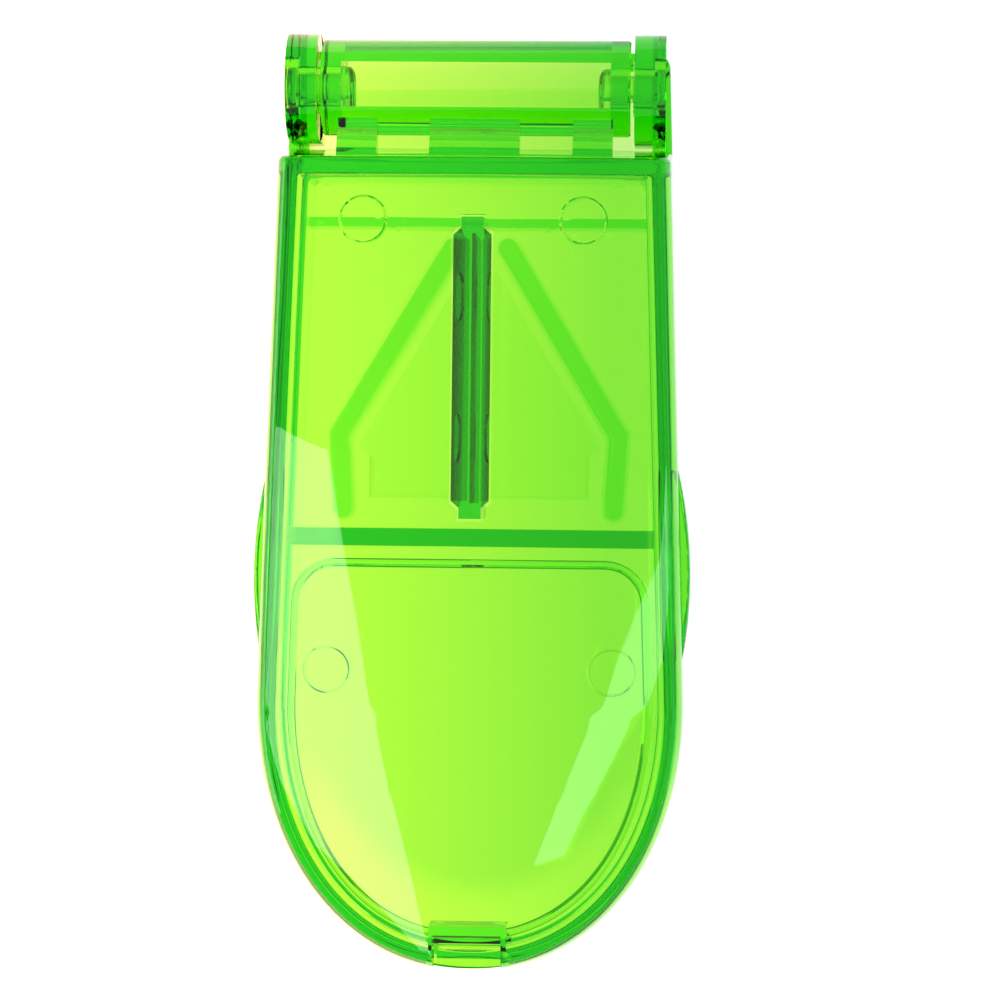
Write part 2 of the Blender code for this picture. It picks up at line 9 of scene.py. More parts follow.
import bmesh
import bpy
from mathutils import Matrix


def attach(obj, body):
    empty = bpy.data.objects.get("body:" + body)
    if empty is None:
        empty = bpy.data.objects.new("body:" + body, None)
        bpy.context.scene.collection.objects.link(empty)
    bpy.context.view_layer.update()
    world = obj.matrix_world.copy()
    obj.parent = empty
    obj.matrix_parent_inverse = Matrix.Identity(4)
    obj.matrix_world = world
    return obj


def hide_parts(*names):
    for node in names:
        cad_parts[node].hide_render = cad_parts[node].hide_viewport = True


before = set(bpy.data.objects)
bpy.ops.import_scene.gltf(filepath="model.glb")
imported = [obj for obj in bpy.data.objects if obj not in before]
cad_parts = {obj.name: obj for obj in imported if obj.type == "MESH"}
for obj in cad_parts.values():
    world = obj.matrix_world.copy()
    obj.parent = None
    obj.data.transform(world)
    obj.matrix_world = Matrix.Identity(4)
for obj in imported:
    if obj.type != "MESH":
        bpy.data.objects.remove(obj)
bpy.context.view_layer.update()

MM = 0.001

# The same dimensions as the CAD has.
TIP_Y = -42.5 * MM
ROUND_Y = -18 * MM
ROUND_HALF_WIDTH = 19.4 * MM
ROUND_POWER = 2.15
REAR_HALF_WIDTH = 17.75 * MM
REAR_Y = 32.6 * MM
HEIGHT = 20 * MM
PARTING_Z = 8 * MM
FLOOR = 2 * MM
RIM_TOP = 8.8 * MM
GAP = 0.2 * MM
TRAY_REAR_Y = 41.6 * MM
TRAY_WALL = 2.1 * MM
RIM_INSET = 1.5 * MM
RIM_REAR_Y = 30.6 * MM
RIM_CORNER = 1 * MM
TRAY_CORNER = 1.5 * MM
RECESS_HALF_LENGTH = 15.9 * MM
RECESS_REAR_WALL = 1.6 * MM
DECK = 1.5 * MM
DIVIDER_Y = -3.1 * MM
DIVIDER_WALL = 1.6 * MM
DIVIDER_TOP = 16.4 * MM
DIVIDER_SIDE = (
    (FLOOR / 2, 1.6 * MM),
    (8.5 * MM, 1.6 * MM),
    (9.5 * MM, 1.75 * MM),
    (13 * MM, 1.8 * MM),
    (15 * MM, 2.3 * MM),
)
DIVIDER_TOP_INSET = 3.1 * MM
HINGE_Y = 37.65 * MM
HINGE_Z = 13.5 * MM
EAR_RADIUS = 4.85 * MM
EAR_INSIDE = 14.3 * MM
EAR_OUTSIDE = 17.1 * MM
EAR_SUNK = 1.2 * MM  # how deep an ear's post runs into the tray
EAR_BOSS_RADIUS = 2.5 * MM
EAR_BOSS_REACH = 0.15 * MM
BARREL_RADIUS = 4.35 * MM
BARREL_HALF_LENGTH = 13.95 * MM
PIN_RADIUS = 1.2 * MM
PIN_CLEARANCE = 0.08 * MM
PIN_HEAD_RADIUS = 1.8 * MM
PIN_HEAD = 0.8 * MM
PIN_INNER_END = 11 * MM
RIB_WIDTH = 2.2 * MM
RIB_TOP = 4.7 * MM
RIB_STEP = 0.01 * MM  # between the tops of a rib's two runs, so that they don't coincide
RIB_PATH = ((2.6 * MM, 23.8 * MM), (13 * MM, 6.3 * MM), (12.6 * MM, -0.6 * MM))
PAD_TOP = 2.4 * MM
PAD_HALF_WIDTH = 10.2 * MM
PAD_FRONT_Y = 0.4 * MM
PAD_HALF = (
    (PAD_HALF_WIDTH, PAD_FRONT_Y),
    (PAD_HALF_WIDTH, 4.3 * MM),
    (11.4 * MM, 5 * MM),
    (1.5 * MM, 21.6 * MM),
)
PAD_RIDGE = 0.3 * MM
PAD_RIDGE_TOP = 2.65 * MM
PAD_RIDGE_LENGTH = 4 * MM
GROOVE_WIDTH = 1.2 * MM
GROOVE_FLOOR = 1 * MM
STOP_RIB_Y = 26 * MM
STOP_RIB_WALL = 1.1 * MM
STOP_RIB_TOP = 6 * MM
GRIP_FRONT_Y = -17.1 * MM
GRIP_REAR_Y = 3.7 * MM
GRIP_REACH = 19.8 * MM
GRIP_SUNK = 0.55 * MM
GRIP_BOTTOM = 9.5 * MM
GRIP_TOP = 15 * MM
LID_TOP_WALL = 2 * MM
LID_CORNER = 0.6 * MM
HOLLOW_CORNER = 0.4 * MM
SKIRT_WALL = 1.2 * MM
SKIRT_SLANT = 0.15 * MM
LID_EDGE_IN = 1 * MM
LID_EDGE_DOWN = 2.2 * MM
REAR_EDGE_IN = 0.45 * MM
HOLLOW_EDGE_IN = 1.2 * MM
HOLLOW_EDGE_DOWN = 5 * MM
REAR_SLANT = 1.5 * MM
DROP_START_Y = -2 * MM
TIP_DROP = 3.5 * MM
CROWN = 0.18
CROWN_APEX_Y = -53.5 * MM
SPINE_FRONT_Y = -26 * MM
SPINE_REAR_Y = 20 * MM
SEAL_INSET = 3.08 * MM
SEAL_WALL = 0.8 * MM
SEAL_HEIGHT = 1.2 * MM
SEAL_REAR_Y = -5 * MM
SEAL_CORNER = 4 * MM
POCKET_HALF_LENGTH = 12.15 * MM
POCKET_HALF_WIDTH = 1.85 * MM
LATCH_HALF_WIDTH = 3.1 * MM
NOTCH_FLOOR = 13 * MM
NOTCH_Y = -39.6 * MM
HOUSING_BOTTOM = 11 * MM
HOUSING_TOP = 15.4 * MM
TAB_BOTTOM = 5.6 * MM
TAB_CLEARANCE = 0.3 * MM
HOUSING_WALL = 0.35 * MM
BARB_REACH = 0.45 * MM
BRIDGE_HALF_LENGTH = 12.2 * MM
GUSSETS = ((-10.6 * MM, 1.8 * MM), (0, 4.05 * MM), (10.6 * MM, 1.8 * MM))  # middle, half length
POCKET_BELOW_HINGE = 6 * MM
POCKET_ABOVE_HINGE = 2.8 * MM
BLADE_FRONT_Y = 0 * MM
BLADE_REAR_Y = 24.3 * MM
HOLDER_BOTTOM = 8.7 * MM
HOLDER_TOP = 18.8 * MM
HOLDER_HALF_WIDTH = 1.7 * MM
HOLDER_WAIST_Z = 13.5 * MM
HOLDER_WAIST_HALF_WIDTH = 0.9 * MM
HOLDER_FOOT_HALF_WIDTH = 0.6 * MM
HOLDER_FRONT_Y = -0.4 * MM
HOLDER_REAR_Y = 24.6 * MM
HOLDER_CHAMFER = 0.6 * MM
HOLDER_TONGUE = 1 * MM
HOLDER_TONGUE_HALF_WIDTH = 1 * MM
HOLDER_SEAT_BOTTOM = 15 * MM

# Finer than the CAD.
ROUND_STEPS = 44
SIDE_STEPS = 8
CORNER_STEPS = 8
FILLET_STEPS = 5
EDGE_STEPS = 12
TURN_SIDES = 64
FILLET = 0.5 * MM
TRAY_FOOT_INSET = 0.8 * MM  # where the tray's rounded foot meets its slanting side
TRAY_FOOT_ROUNDING = 0.9 * MM
TRAY_TOP_BEVEL = 0.1 * MM
CAVITY_CORNER = 0.9 * MM
GRIP_EDGE = ((0, 0.3 * MM), (0.1 * MM, 0.1 * MM), (0.3 * MM, 0))  # (from the end, inset)
PIN_DOME = 0.7 * MM
RIB_DRAFT = 0.25 * MM
RIB_ROUNDING = 0.4 * MM
RIB_FOOT = 0.35 * MM
WALL_DRAFT = 0.12 * MM
WALL_ROUNDING = 0.2 * MM
DIVIDER_BEVEL = 0.1 * MM
SEAL_DRAFT = 0.3 * MM
CAPSULE_STEPS = 12
CIRCLE_SIDES = 48
GRIP_STEPS = 40
TOP_SHARES = (0.04, 0.1, 0.18, 0.28, 0.4, 0.52, 0.65, 0.8, 1)  # rings from the edge to the spine
EJECTOR_MARK_RADIUS = 2.05 * MM
EJECTOR_MARK_LINE = 0.25 * MM
EJECTOR_MARK_DEPTH = 0.095 * MM
EJECTOR_MARKS = ((9.85 * MM, 25.3 * MM), (12.7 * MM, -15 * MM))  # both halves, under the lid
SHARP_ANGLE = math.radians(32)
WELD = 0.004 * MM

# Looks.
PLASTIC_IOR = 1.49
PLASTIC_TAKES = (362.0, 44.0, 880.0)  # per metre, of red, green and blue
PLASTIC_DENSITY = 1100.0  # more than any of those, so that each colour share is above 0
STEEL_DARK = (0.4, 0.41, 0.41)
STEEL_PALE = (0.68, 0.69, 0.68)
PAINTED_WARM_LIGHT = (2.1, 1.28, 1.28)  # a painted pool of warm light from the left, under the left side, fading to white between the two X values below
PAINTED_LIGHT_FROM_X = -14 * MM
PAINTED_LIGHT_TO_X = 12 * MM
# painted caustic: a crescent of brighter, tinted glow on the table under the lid's round end
PAINTED_CAUSTIC_TINT = (1.4, 1.12, 1.25)
PAINTED_CAUSTIC_REACH = (0.68, 0.84)  # where it starts and is full, as shares of the round end
PAINTED_CAUSTIC_Y = (-21 * MM, -33 * MM)

tools_collection = bpy.data.collections.new("tools")
bpy.context.scene.collection.children.link(tools_collection)


def add_object(mesh_data, name, collection=None):
    """Puts a finished bmesh in the scene as an object."""
    bmesh.ops.recalc_face_normals(mesh_data, faces=mesh_data.faces)
    mesh = bpy.data.meshes.new(name)
    mesh_data.to_mesh(mesh)
    mesh_data.free()
    made = bpy.data.objects.new(name, mesh)
    (collection or bpy.context.scene.collection).objects.link(made)
    return made


def loft(name, rings, collection=tools_collection, ring_shaped=False, capped=True):
    """A solid whose skin runs through rings of equal point counts."""
    made = bmesh.new()
    loops = [[made.verts.new(point) for point in ring] for ring in rings]
    pairs = list(zip(loops, loops[1:]))
    if ring_shaped:
        pairs.append((loops[-1], loops[0]))
    for low, high in pairs:
        for index in range(len(low)):
            after = (index + 1) % len(low)
            made.faces.new((low[index], low[after], high[after], high[index]))
    if not ring_shaped:
        made.faces.new(loops[0])
        if capped:
            made.faces.new(loops[-1])
    bmesh.ops.remove_doubles(made, verts=made.verts, dist=1e-6)
    bmesh.ops.triangulate(made, faces=made.faces)  # flat faces only, which the booleans need
    return add_object(made, name, collection)


def prism(name, outline_points, bottom, top):
    """A flat outline raised from bottom to top."""
    return loft(name, [[(x, y, z) for x, y in outline_points] for z in (bottom, top)])


def side_prism(name, side_points, start_x, end_x):
    """A side view, given as (y, z) points, drawn out along X."""
    return loft(name, [[(x, y, z) for y, z in side_points] for x in (start_x, end_x)])


def block(name, low, high):
    """A box between two corners."""
    (x0, y0, z0), (x1, y1, z1) = low, high
    return prism(name, ((x0, y0), (x1, y0), (x1, y1), (x0, y1)), z0, z1)


def turned(name, profile, collection=tools_collection):
    """A round bar about the hinge's axis, from (x, radius) pairs."""
    rings = []
    for x, radius in profile:
        ring = []
        for step in range(TURN_SIDES):
            angle = 2 * math.pi * (step + 0.5) / TURN_SIDES
            y, z = radius * math.cos(angle), radius * math.sin(angle)
            ring.append((x, HINGE_Y + y, HINGE_Z + z))
        rings.append(ring)
    return loft(name, rings, collection)


def bar(name, radius, start_x, end_x, chamfer=0.0):
    """A round bar about the hinge's axis, with chamfered ends if asked."""
    way = 1 if end_x > start_x else -1
    inner, outer = start_x + way * chamfer, end_x - way * chamfer
    if not chamfer:
        return turned(name, ((start_x, radius), (end_x, radius)))
    return turned(
        name,
        ((start_x, radius - chamfer), (inner, radius), (outer, radius), (end_x, radius - chamfer)),
    )


def combine(target, *changes):
    """Applies a list of (operation, tool) to target in turn, and removes the tools."""
    for operation, tool in changes:
        modifier = target.modifiers.new(tool.name, "BOOLEAN")
        modifier.operation = operation
        modifier.solver = "EXACT"
        modifier.object = tool
        depsgraph = bpy.context.evaluated_depsgraph_get()
        mesh = bpy.data.meshes.new_from_object(target.evaluated_get(depsgraph))
        target.modifiers.clear()
        welded = bmesh.new()
        welded.from_mesh(mesh)
        bmesh.ops.remove_doubles(welded, verts=welded.verts, dist=WELD)
        bmesh.ops.dissolve_degenerate(welded, edges=welded.edges, dist=WELD / 4)
        welded.to_mesh(mesh)
        welded.free()
        target.data = mesh
        bpy.data.objects.remove(tool)
    return target


def straight_half_width(y):
    """Half the body's width at y, behind the rounded tip."""
    share = (y - ROUND_Y) / (REAR_Y - ROUND_Y)
    return ROUND_HALF_WIDTH + (REAR_HALF_WIDTH - ROUND_HALF_WIDTH) * share


def mirrored(half):
    """A closed outline from its half at the right, whose points come in order."""
    return list(half) + [(-x, other) for x, other in reversed(half)]


def outline(inset, rear_y, corner):
    """The body's plan, drawn in by inset, with its straight rear edge at rear_y."""
    half = [(0, rear_y)]
    corner_y = rear_y - corner
    corner_x = straight_half_width(corner_y) - inset - corner
    for step in range(CORNER_STEPS + 1):
        angle = math.pi / 2 * (1 - step / CORNER_STEPS)
        half.append((corner_x + corner * math.cos(angle), corner_y + corner * math.sin(angle)))
    for step in range(1, SIDE_STEPS + 1):
        y = corner_y + (ROUND_Y - corner_y) * step / SIDE_STEPS
        half.append((straight_half_width(y) - inset, y))
    for step in range(1, ROUND_STEPS + 1):
        angle = math.pi / 2 * step / ROUND_STEPS
        x = (ROUND_HALF_WIDTH - inset) * max(math.cos(angle), 0) ** (2 / ROUND_POWER)
        y = ROUND_Y + (TIP_Y + inset - ROUND_Y) * math.sin(angle) ** (2 / ROUND_POWER)
        half.append((0 if step == ROUND_STEPS else x, y))
    return half + [(-x, y) for x, y in reversed(half[1:-1])]


def lid_height(x, y):
    """Height of the lid's top, part of a shallow cone that slopes down to the tip."""
    drop = max(0, (DROP_START_Y - y) / (DROP_START_Y - TIP_Y))
    return HEIGHT - TIP_DROP * drop**2 - CROWN * x**2 / (y - CROWN_APEX_Y)


def lid_rings(inset, lowered, bottom, rear_y, corner, edge_in=LID_EDGE_IN, edge_down=LID_EDGE_DOWN):
    """Rings of the lid's skin, from the skirt's foot over the rounded edge to the centre line."""
    foot = outline(inset, rear_y, corner)
    rings = [[(x, y, bottom) for x, y in foot]]
    for step in range(EDGE_STEPS + 1):
        turn = math.pi / 2 * step / EDGE_STEPS
        inward = edge_in * (1 - math.cos(turn))
        down = lowered + edge_down * (1 - math.sin(turn))
        rear = rear_y - REAR_SLANT - inward * REAR_EDGE_IN / LID_EDGE_IN
        plan = outline(inset + SKIRT_SLANT + inward, rear, corner)
        rings.append([(x, y, lid_height(x, y) - down) for x, y in plan])
    for share in TOP_SHARES:
        ring = []
        for x, y in plan:
            spine_y = min(max(y, SPINE_FRONT_Y), SPINE_REAR_Y)
            inner_x, inner_y = x * (1 - share), y + (spine_y - y) * share
            ring.append((inner_x, inner_y, lid_height(inner_x, inner_y) - lowered))
        rings.append(ring)
    return rings


def capsule(start, end, width):
    """Outline of a bar with round ends."""
    turn = math.atan2(end[1] - start[1], end[0] - start[0])
    points = []
    for centre, first in ((end, turn - math.pi / 2), (start, turn + math.pi / 2)):
        for step in range(CAPSULE_STEPS + 1):
            angle = first + math.pi * step / CAPSULE_STEPS
            x = centre[0] + width / 2 * math.cos(angle)
            points.append((x, centre[1] + width / 2 * math.sin(angle)))
    return points


def circle(centre, radius):
    """Outline of a circle, turned a little so that its corners miss other outlines."""
    turns = (2 * math.pi * (step + 0.3) / CIRCLE_SIDES for step in range(CIRCLE_SIDES))
    return [(centre[0] + radius * math.cos(t), centre[1] + radius * math.sin(t)) for t in turns]


def drafted_rib(name, start, end, width, top):
    """A rib with sloping sides and a rounded top."""
    rings = []
    levels = [(FLOOR / 2, -RIB_FOOT)]
    for step in range(FILLET_STEPS + 1):
        turn = math.pi / 2 * step / FILLET_STEPS
        levels.append((FLOOR + RIB_FOOT * (1 - math.cos(turn)), -RIB_FOOT * (1 - math.sin(turn))))
    for step in range(FILLET_STEPS + 1):
        turn = math.pi / 2 * step / FILLET_STEPS
        inward = RIB_DRAFT + RIB_ROUNDING * (1 - math.cos(turn))
        levels.append((top - RIB_ROUNDING * (1 - math.sin(turn)), inward))
    for z, inward in levels:
        rings.append([(x, y, z) for x, y in capsule(start, end, width - 2 * inward)])
    return loft(name, rings)


def cross_wall(name, y, wall, top, reach):
    """A wall across the tray, slightly thinner at its rounded top."""
    foot, neck = wall / 2, wall / 2 - WALL_DRAFT
    rounding, middle = WALL_ROUNDING, 0.3 * WALL_ROUNDING
    side = (
        (y - foot, FLOOR / 2),
        (y - neck, top - rounding),
        (y - neck + middle, top - middle),
        (y - neck + rounding, top),
        (y + neck - rounding, top),
        (y + neck - middle, top - middle),
        (y + neck, top - rounding),
        (y + foot, FLOOR / 2),
    )
    return side_prism(name, side, -reach, reach)


def divider():
    """The wall between the pill rest and the storage well, which fits inside the closed lid."""
    half = straight_half_width(DIVIDER_Y)
    right = [(half - inset, z) for z, inset in DIVIDER_SIDE]
    right += [
        (half - DIVIDER_TOP_INSET, DIVIDER_TOP - DIVIDER_BEVEL),
        (half - DIVIDER_TOP_INSET - DIVIDER_BEVEL, DIVIDER_TOP),
    ]
    faces_y = (DIVIDER_Y - DIVIDER_WALL / 2, DIVIDER_Y + DIVIDER_WALL / 2)
    return loft("divider", [[(x, y, z) for x, z in mirrored(right)] for y in faces_y])


def ring_mark(centre):
    """A thin V-shaped circular groove in the underside of the lid's top, left by an ejector."""
    outer = circle(centre, EJECTOR_MARK_RADIUS + EJECTOR_MARK_LINE)
    middle = circle(centre, EJECTOR_MARK_RADIUS)
    inner = circle(centre, EJECTOR_MARK_RADIUS - EJECTOR_MARK_LINE)
    low, high = LID_TOP_WALL + EJECTOR_MARK_DEPTH, LID_TOP_WALL - EJECTOR_MARK_DEPTH
    rings = []
    for plan, down in ((outer, low), (middle, high), (inner, low)):
        rings.append([(x, y, lid_height(x, y) - down) for x, y in plan])
    return loft("ejector_mark", rings, ring_shaped=True)


def filleted_cavity(name, inset, rear_y, corner, bottom, top):
    """A cavity with drafted walls that run into its floor with a fillet."""
    rings = []
    for step in range(FILLET_STEPS + 1):
        turn = math.pi / 2 * step / FILLET_STEPS
        inward = FILLET * (1 - math.sin(turn))
        plan = outline(inset + inward, rear_y - inward, corner)
        rings.append([(x, y, bottom + FILLET * (1 - math.cos(turn))) for x, y in plan])
    rings.append([(x, y, top) for x, y in outline(inset, rear_y, corner)])
    return loft(name, rings)


def grip_outline(side, inset):
    """A flat arc that bulges from the lid's side."""
    middle_y = (GRIP_FRONT_Y + GRIP_REAR_Y) / 2
    half_chord = (GRIP_REAR_Y - GRIP_FRONT_Y) / 2 - inset
    root = straight_half_width(middle_y) - GRIP_SUNK - 0.1 * MM
    reach = GRIP_REACH - inset
    end_x = straight_half_width(middle_y) - GRIP_SUNK
    points = []
    for step in range(GRIP_STEPS + 1):
        share = 2 * step / GRIP_STEPS - 1
        x = end_x + (reach - end_x) * (1 - share**2)
        points.append((side * x, middle_y + half_chord * share))
    return points + [(side * root, points[-1][1]), (side * root, points[0][1])]


def make_tray():
    """The lower moulding."""
    rings = []
    for step in range(FILLET_STEPS + 1):
        turn = math.pi / 2 * step / FILLET_STEPS
        inset = TRAY_FOOT_INSET + TRAY_FOOT_ROUNDING * (1 - math.sin(turn))
        z = TRAY_FOOT_ROUNDING * (1 - math.cos(turn))
        rings.append([(x, y, z) for x, y in outline(inset, TRAY_REAR_Y - inset, TRAY_CORNER)])
    side_top = outline(0, TRAY_REAR_Y, TRAY_CORNER)
    rings.append([(x, y, PARTING_Z - TRAY_TOP_BEVEL) for x, y in side_top])
    top = outline(TRAY_TOP_BEVEL, TRAY_REAR_Y - TRAY_TOP_BEVEL, TRAY_CORNER)
    rings.append([(x, y, PARTING_Z) for x, y in top])
    tray = loft("tray_clear", rings, None)

    rim = prism("rim", outline(RIM_INSET, RIM_REAR_Y, RIM_CORNER), FLOOR / 2, RIM_TOP)
    cavity_rear = RIM_REAR_Y - (TRAY_WALL - RIM_INSET)
    cavity = filleted_cavity("cavity", TRAY_WALL, cavity_rear, CAVITY_CORNER, FLOOR, HEIGHT)
    recess = block(
        "hinge_recess",
        (-RECESS_HALF_LENGTH, RIM_REAR_Y + 0.5 * MM, -1 * MM),
        (RECESS_HALF_LENGTH, TRAY_REAR_Y - RECESS_REAR_WALL, PARTING_Z - DECK),
    )
    changes = [("UNION", rim), ("DIFFERENCE", cavity), ("DIFFERENCE", recess)]
    for side in (-1, 1):
        changes += ear_changes(side)
    changes += pill_rest_changes()
    changes += latch_seat_changes()
    return combine(tray, *changes)


def ear_changes(side):
    """A round-topped hinge plate with a thrust boss and a stepped hole for its pin."""
    inner, outer = side * EAR_INSIDE, side * EAR_OUTSIDE
    post_side = (
        (HINGE_Y - EAR_RADIUS, PARTING_Z - EAR_SUNK),
        (TRAY_REAR_Y - 1.3 * MM, PARTING_Z - EAR_SUNK),
        (TRAY_REAR_Y - 0.9 * MM, PARTING_Z - 4.5 * MM),
        (HINGE_Y + EAR_RADIUS, PARTING_Z - 1 * MM),
        (HINGE_Y + EAR_RADIUS, HINGE_Z),
        (HINGE_Y - EAR_RADIUS, HINGE_Z),
    )
    boss = bar("ear_boss", EAR_BOSS_RADIUS, inner + side * 0.5 * MM, inner - side * EAR_BOSS_REACH)
    hole_end = outer + side * MM
    counterbore_start = outer - side * (PIN_HEAD + GAP)
    return [
        ("UNION", side_prism("ear_post", post_side, inner, outer)),
        ("UNION", bar("ear_disc", EAR_RADIUS, inner, outer)),
        ("UNION", boss),
        ("DIFFERENCE", bar("ear_hole", PIN_RADIUS + PIN_CLEARANCE, side * 12.5 * MM, hole_end)),
        ("DIFFERENCE", bar("counterbore", PIN_HEAD_RADIUS + GAP / 2, counterbore_start, hole_end)),
    ]


def pill_rest_changes():
    """The divider, the stop rib, the raised pad, the V of ribs and the groove for the blade."""
    reach = straight_half_width(STOP_RIB_Y) - TRAY_WALL + 0.3 * MM
    stop_rib = cross_wall("stop_rib", STOP_RIB_Y, STOP_RIB_WALL, STOP_RIB_TOP, reach)
    changes = [("UNION", divider()), ("UNION", stop_rib)]
    changes.append(("UNION", prism("pad", mirrored(PAD_HALF), FLOOR / 2, PAD_TOP)))
    near, far = PAD_HALF_WIDTH - PAD_RIDGE, PAD_HALF_WIDTH
    front, back = PAD_FRONT_Y, PAD_FRONT_Y + PAD_RIDGE_LENGTH
    ridge_half = ((far, front), (far, back), (near, back), (near, front + PAD_RIDGE))
    ridge = prism("pad_ridge", mirrored(ridge_half), FLOOR / 2, PAD_RIDGE_TOP)
    changes.append(("UNION", ridge))
    for side in (-1, 1):
        path = [(side * x, y) for x, y in RIB_PATH]
        for number, (start, end) in enumerate(zip(path, path[1:])):
            top = RIB_TOP - number * RIB_STEP
            changes.append(("UNION", drafted_rib("rib", start, end, RIB_WIDTH, top)))
    groove = block(
        "groove",
        (-GROOVE_WIDTH / 2, BLADE_FRONT_Y - 1 * MM, GROOVE_FLOOR),
        (GROOVE_WIDTH / 2, BLADE_REAR_Y + 0.6 * MM, HEIGHT),
    )
    return changes + [("DIFFERENCE", groove)]


def latch_seat_changes():
    """Room in the tray's tip for the lid's tab, and the groove that its barb snaps into."""
    clear = LATCH_HALF_WIDTH + TAB_CLEARANCE
    low = TAB_BOTTOM - TAB_CLEARANCE
    seat_high = (clear, TIP_Y + 1.6 * MM, PARTING_Z + 1.5 * MM)
    groove_high = (clear, TIP_Y + 2.1 * MM, TAB_BOTTOM + 1.3 * MM)
    boss_low = (-clear - HOUSING_WALL, TIP_Y + 1.95 * MM, FLOOR / 2)
    boss_high = (clear + HOUSING_WALL, TIP_Y + 3.1 * MM, RIM_TOP)
    return [
        ("UNION", block("latch_boss", boss_low, boss_high)),
        ("DIFFERENCE", block("tab_seat", (-clear, TIP_Y - MM, low), seat_high)),
        ("DIFFERENCE", block("barb_groove", (-clear, TIP_Y, low), groove_high)),
    ]


def make_lid():
    """The upper moulding."""
    foot = PARTING_Z + GAP
    lid = loft("lid_clear", lid_rings(0, 0, foot, REAR_Y, LID_CORNER), None, capped=False)
    hollow_rings = lid_rings(
        SKIRT_WALL,
        LID_TOP_WALL,
        foot - 2 * MM,
        REAR_Y - SKIRT_WALL,
        HOLLOW_CORNER,
        HOLLOW_EDGE_IN,
        HOLLOW_EDGE_DOWN,
    )
    changes = [("DIFFERENCE", loft("lid_hollow", hollow_rings, capped=False))]
    changes.append(("UNION", sealing_ring()))
    for x, y in EJECTOR_MARKS:
        changes += [("DIFFERENCE", ring_mark((side * x, y))) for side in (-1, 1)]
    changes += grip_changes()
    changes += latch_changes()
    changes += barrel_changes()
    seat_outline = holder_outline(HOLDER_HALF_WIDTH + GAP, GAP)
    seat = prism("holder_seat", seat_outline, HOLDER_SEAT_BOTTOM, HOLDER_TOP + GAP)
    changes.append(("DIFFERENCE", seat))
    return combine(lid, *changes)


def sealing_ring():
    """A closed rim under the lid, round the storage well's mouth, with sloping sides."""
    inner_inset = SEAL_INSET + SEAL_WALL
    outer = outline(SEAL_INSET, SEAL_REAR_Y, SEAL_CORNER)
    inner = outline(inner_inset, SEAL_REAR_Y - SEAL_WALL, SEAL_CORNER - SEAL_WALL)
    sunk, foot = LID_TOP_WALL / 2, LID_TOP_WALL + SEAL_HEIGHT
    draft = SEAL_DRAFT
    foot_outer = outline(SEAL_INSET + draft, SEAL_REAR_Y - draft, SEAL_CORNER - draft)
    rear = SEAL_REAR_Y - SEAL_WALL + draft
    foot_inner = outline(inner_inset - draft, rear, SEAL_CORNER - SEAL_WALL + draft)
    rings = []
    for plan, down in (
        (foot_outer, foot),
        (outer, LID_TOP_WALL),
        (outer, sunk),
        (inner, sunk),
        (inner, LID_TOP_WALL),
        (foot_inner, foot),
    ):
        rings.append([(x, y, lid_height(x, y) - down) for x, y in plan])
    return loft("sealing_ring", rings, ring_shaped=True)


def grip_changes():
    """Two bulges on the skirt, by which the lid is lifted."""
    changes = []
    for side in (-1, 1):
        rings = []
        levels = [(GRIP_BOTTOM + up, inset) for up, inset in GRIP_EDGE]
        levels += [(GRIP_TOP - down, inset) for down, inset in reversed(GRIP_EDGE)]
        for z, inset in levels:
            rings.append([(x, y, z) for x, y in grip_outline(side, inset)])
        changes.append(("UNION", loft("grip", rings)))
    return changes


def latch_changes():
    """A thumb notch in the lid's tip, and below it a springy tab with a barb."""
    housing_half = LATCH_HALF_WIDTH + HOUSING_WALL
    housing_side = (
        (TIP_Y + 1.1 * MM, HOUSING_BOTTOM),
        (TIP_Y + 1.9 * MM, HOUSING_TOP),
        (NOTCH_Y + 1.5 * MM, HOUSING_TOP),
        (NOTCH_Y + 1.5 * MM, HOUSING_BOTTOM),
    )
    notch_side = (
        (TIP_Y - MM, NOTCH_FLOOR),
        (NOTCH_Y, NOTCH_FLOOR),
        (NOTCH_Y + 1.2 * MM, HEIGHT),
        (TIP_Y - MM, HEIGHT),
    )
    half = LATCH_HALF_WIDTH
    changes = [
        ("UNION", side_prism("notch_housing", housing_side, -housing_half, housing_half)),
        ("DIFFERENCE", side_prism("thumb_notch", notch_side, -half, half)),
    ]
    for side in (-1, 1):
        near, far = sorted((side * half, side * (half + 0.4 * MM)))
        high = (far, TIP_Y + 1.5 * MM, PARTING_Z + 1.6 * MM)
        changes.append(("DIFFERENCE", block("slit", (near, TIP_Y - MM, PARTING_Z - MM), high)))
    tab_front, tab_back = TIP_Y + 0.6 * MM, TIP_Y + 1.4 * MM
    barb_back = tab_back + BARB_REACH
    tab_side = (
        (tab_front, TAB_BOTTOM),
        (tab_back, TAB_BOTTOM),
        (barb_back, TAB_BOTTOM + 0.5 * MM),
        (barb_back, TAB_BOTTOM + 1 * MM),
        (tab_back, TAB_BOTTOM + 1 * MM),
        (tab_back, PARTING_Z + 2 * MM),
        (tab_front, PARTING_Z + 2 * MM),
    )
    tab_half = half - 0.05 * MM
    changes.append(("UNION", side_prism("latch_tab", tab_side, -tab_half, tab_half)))
    return changes


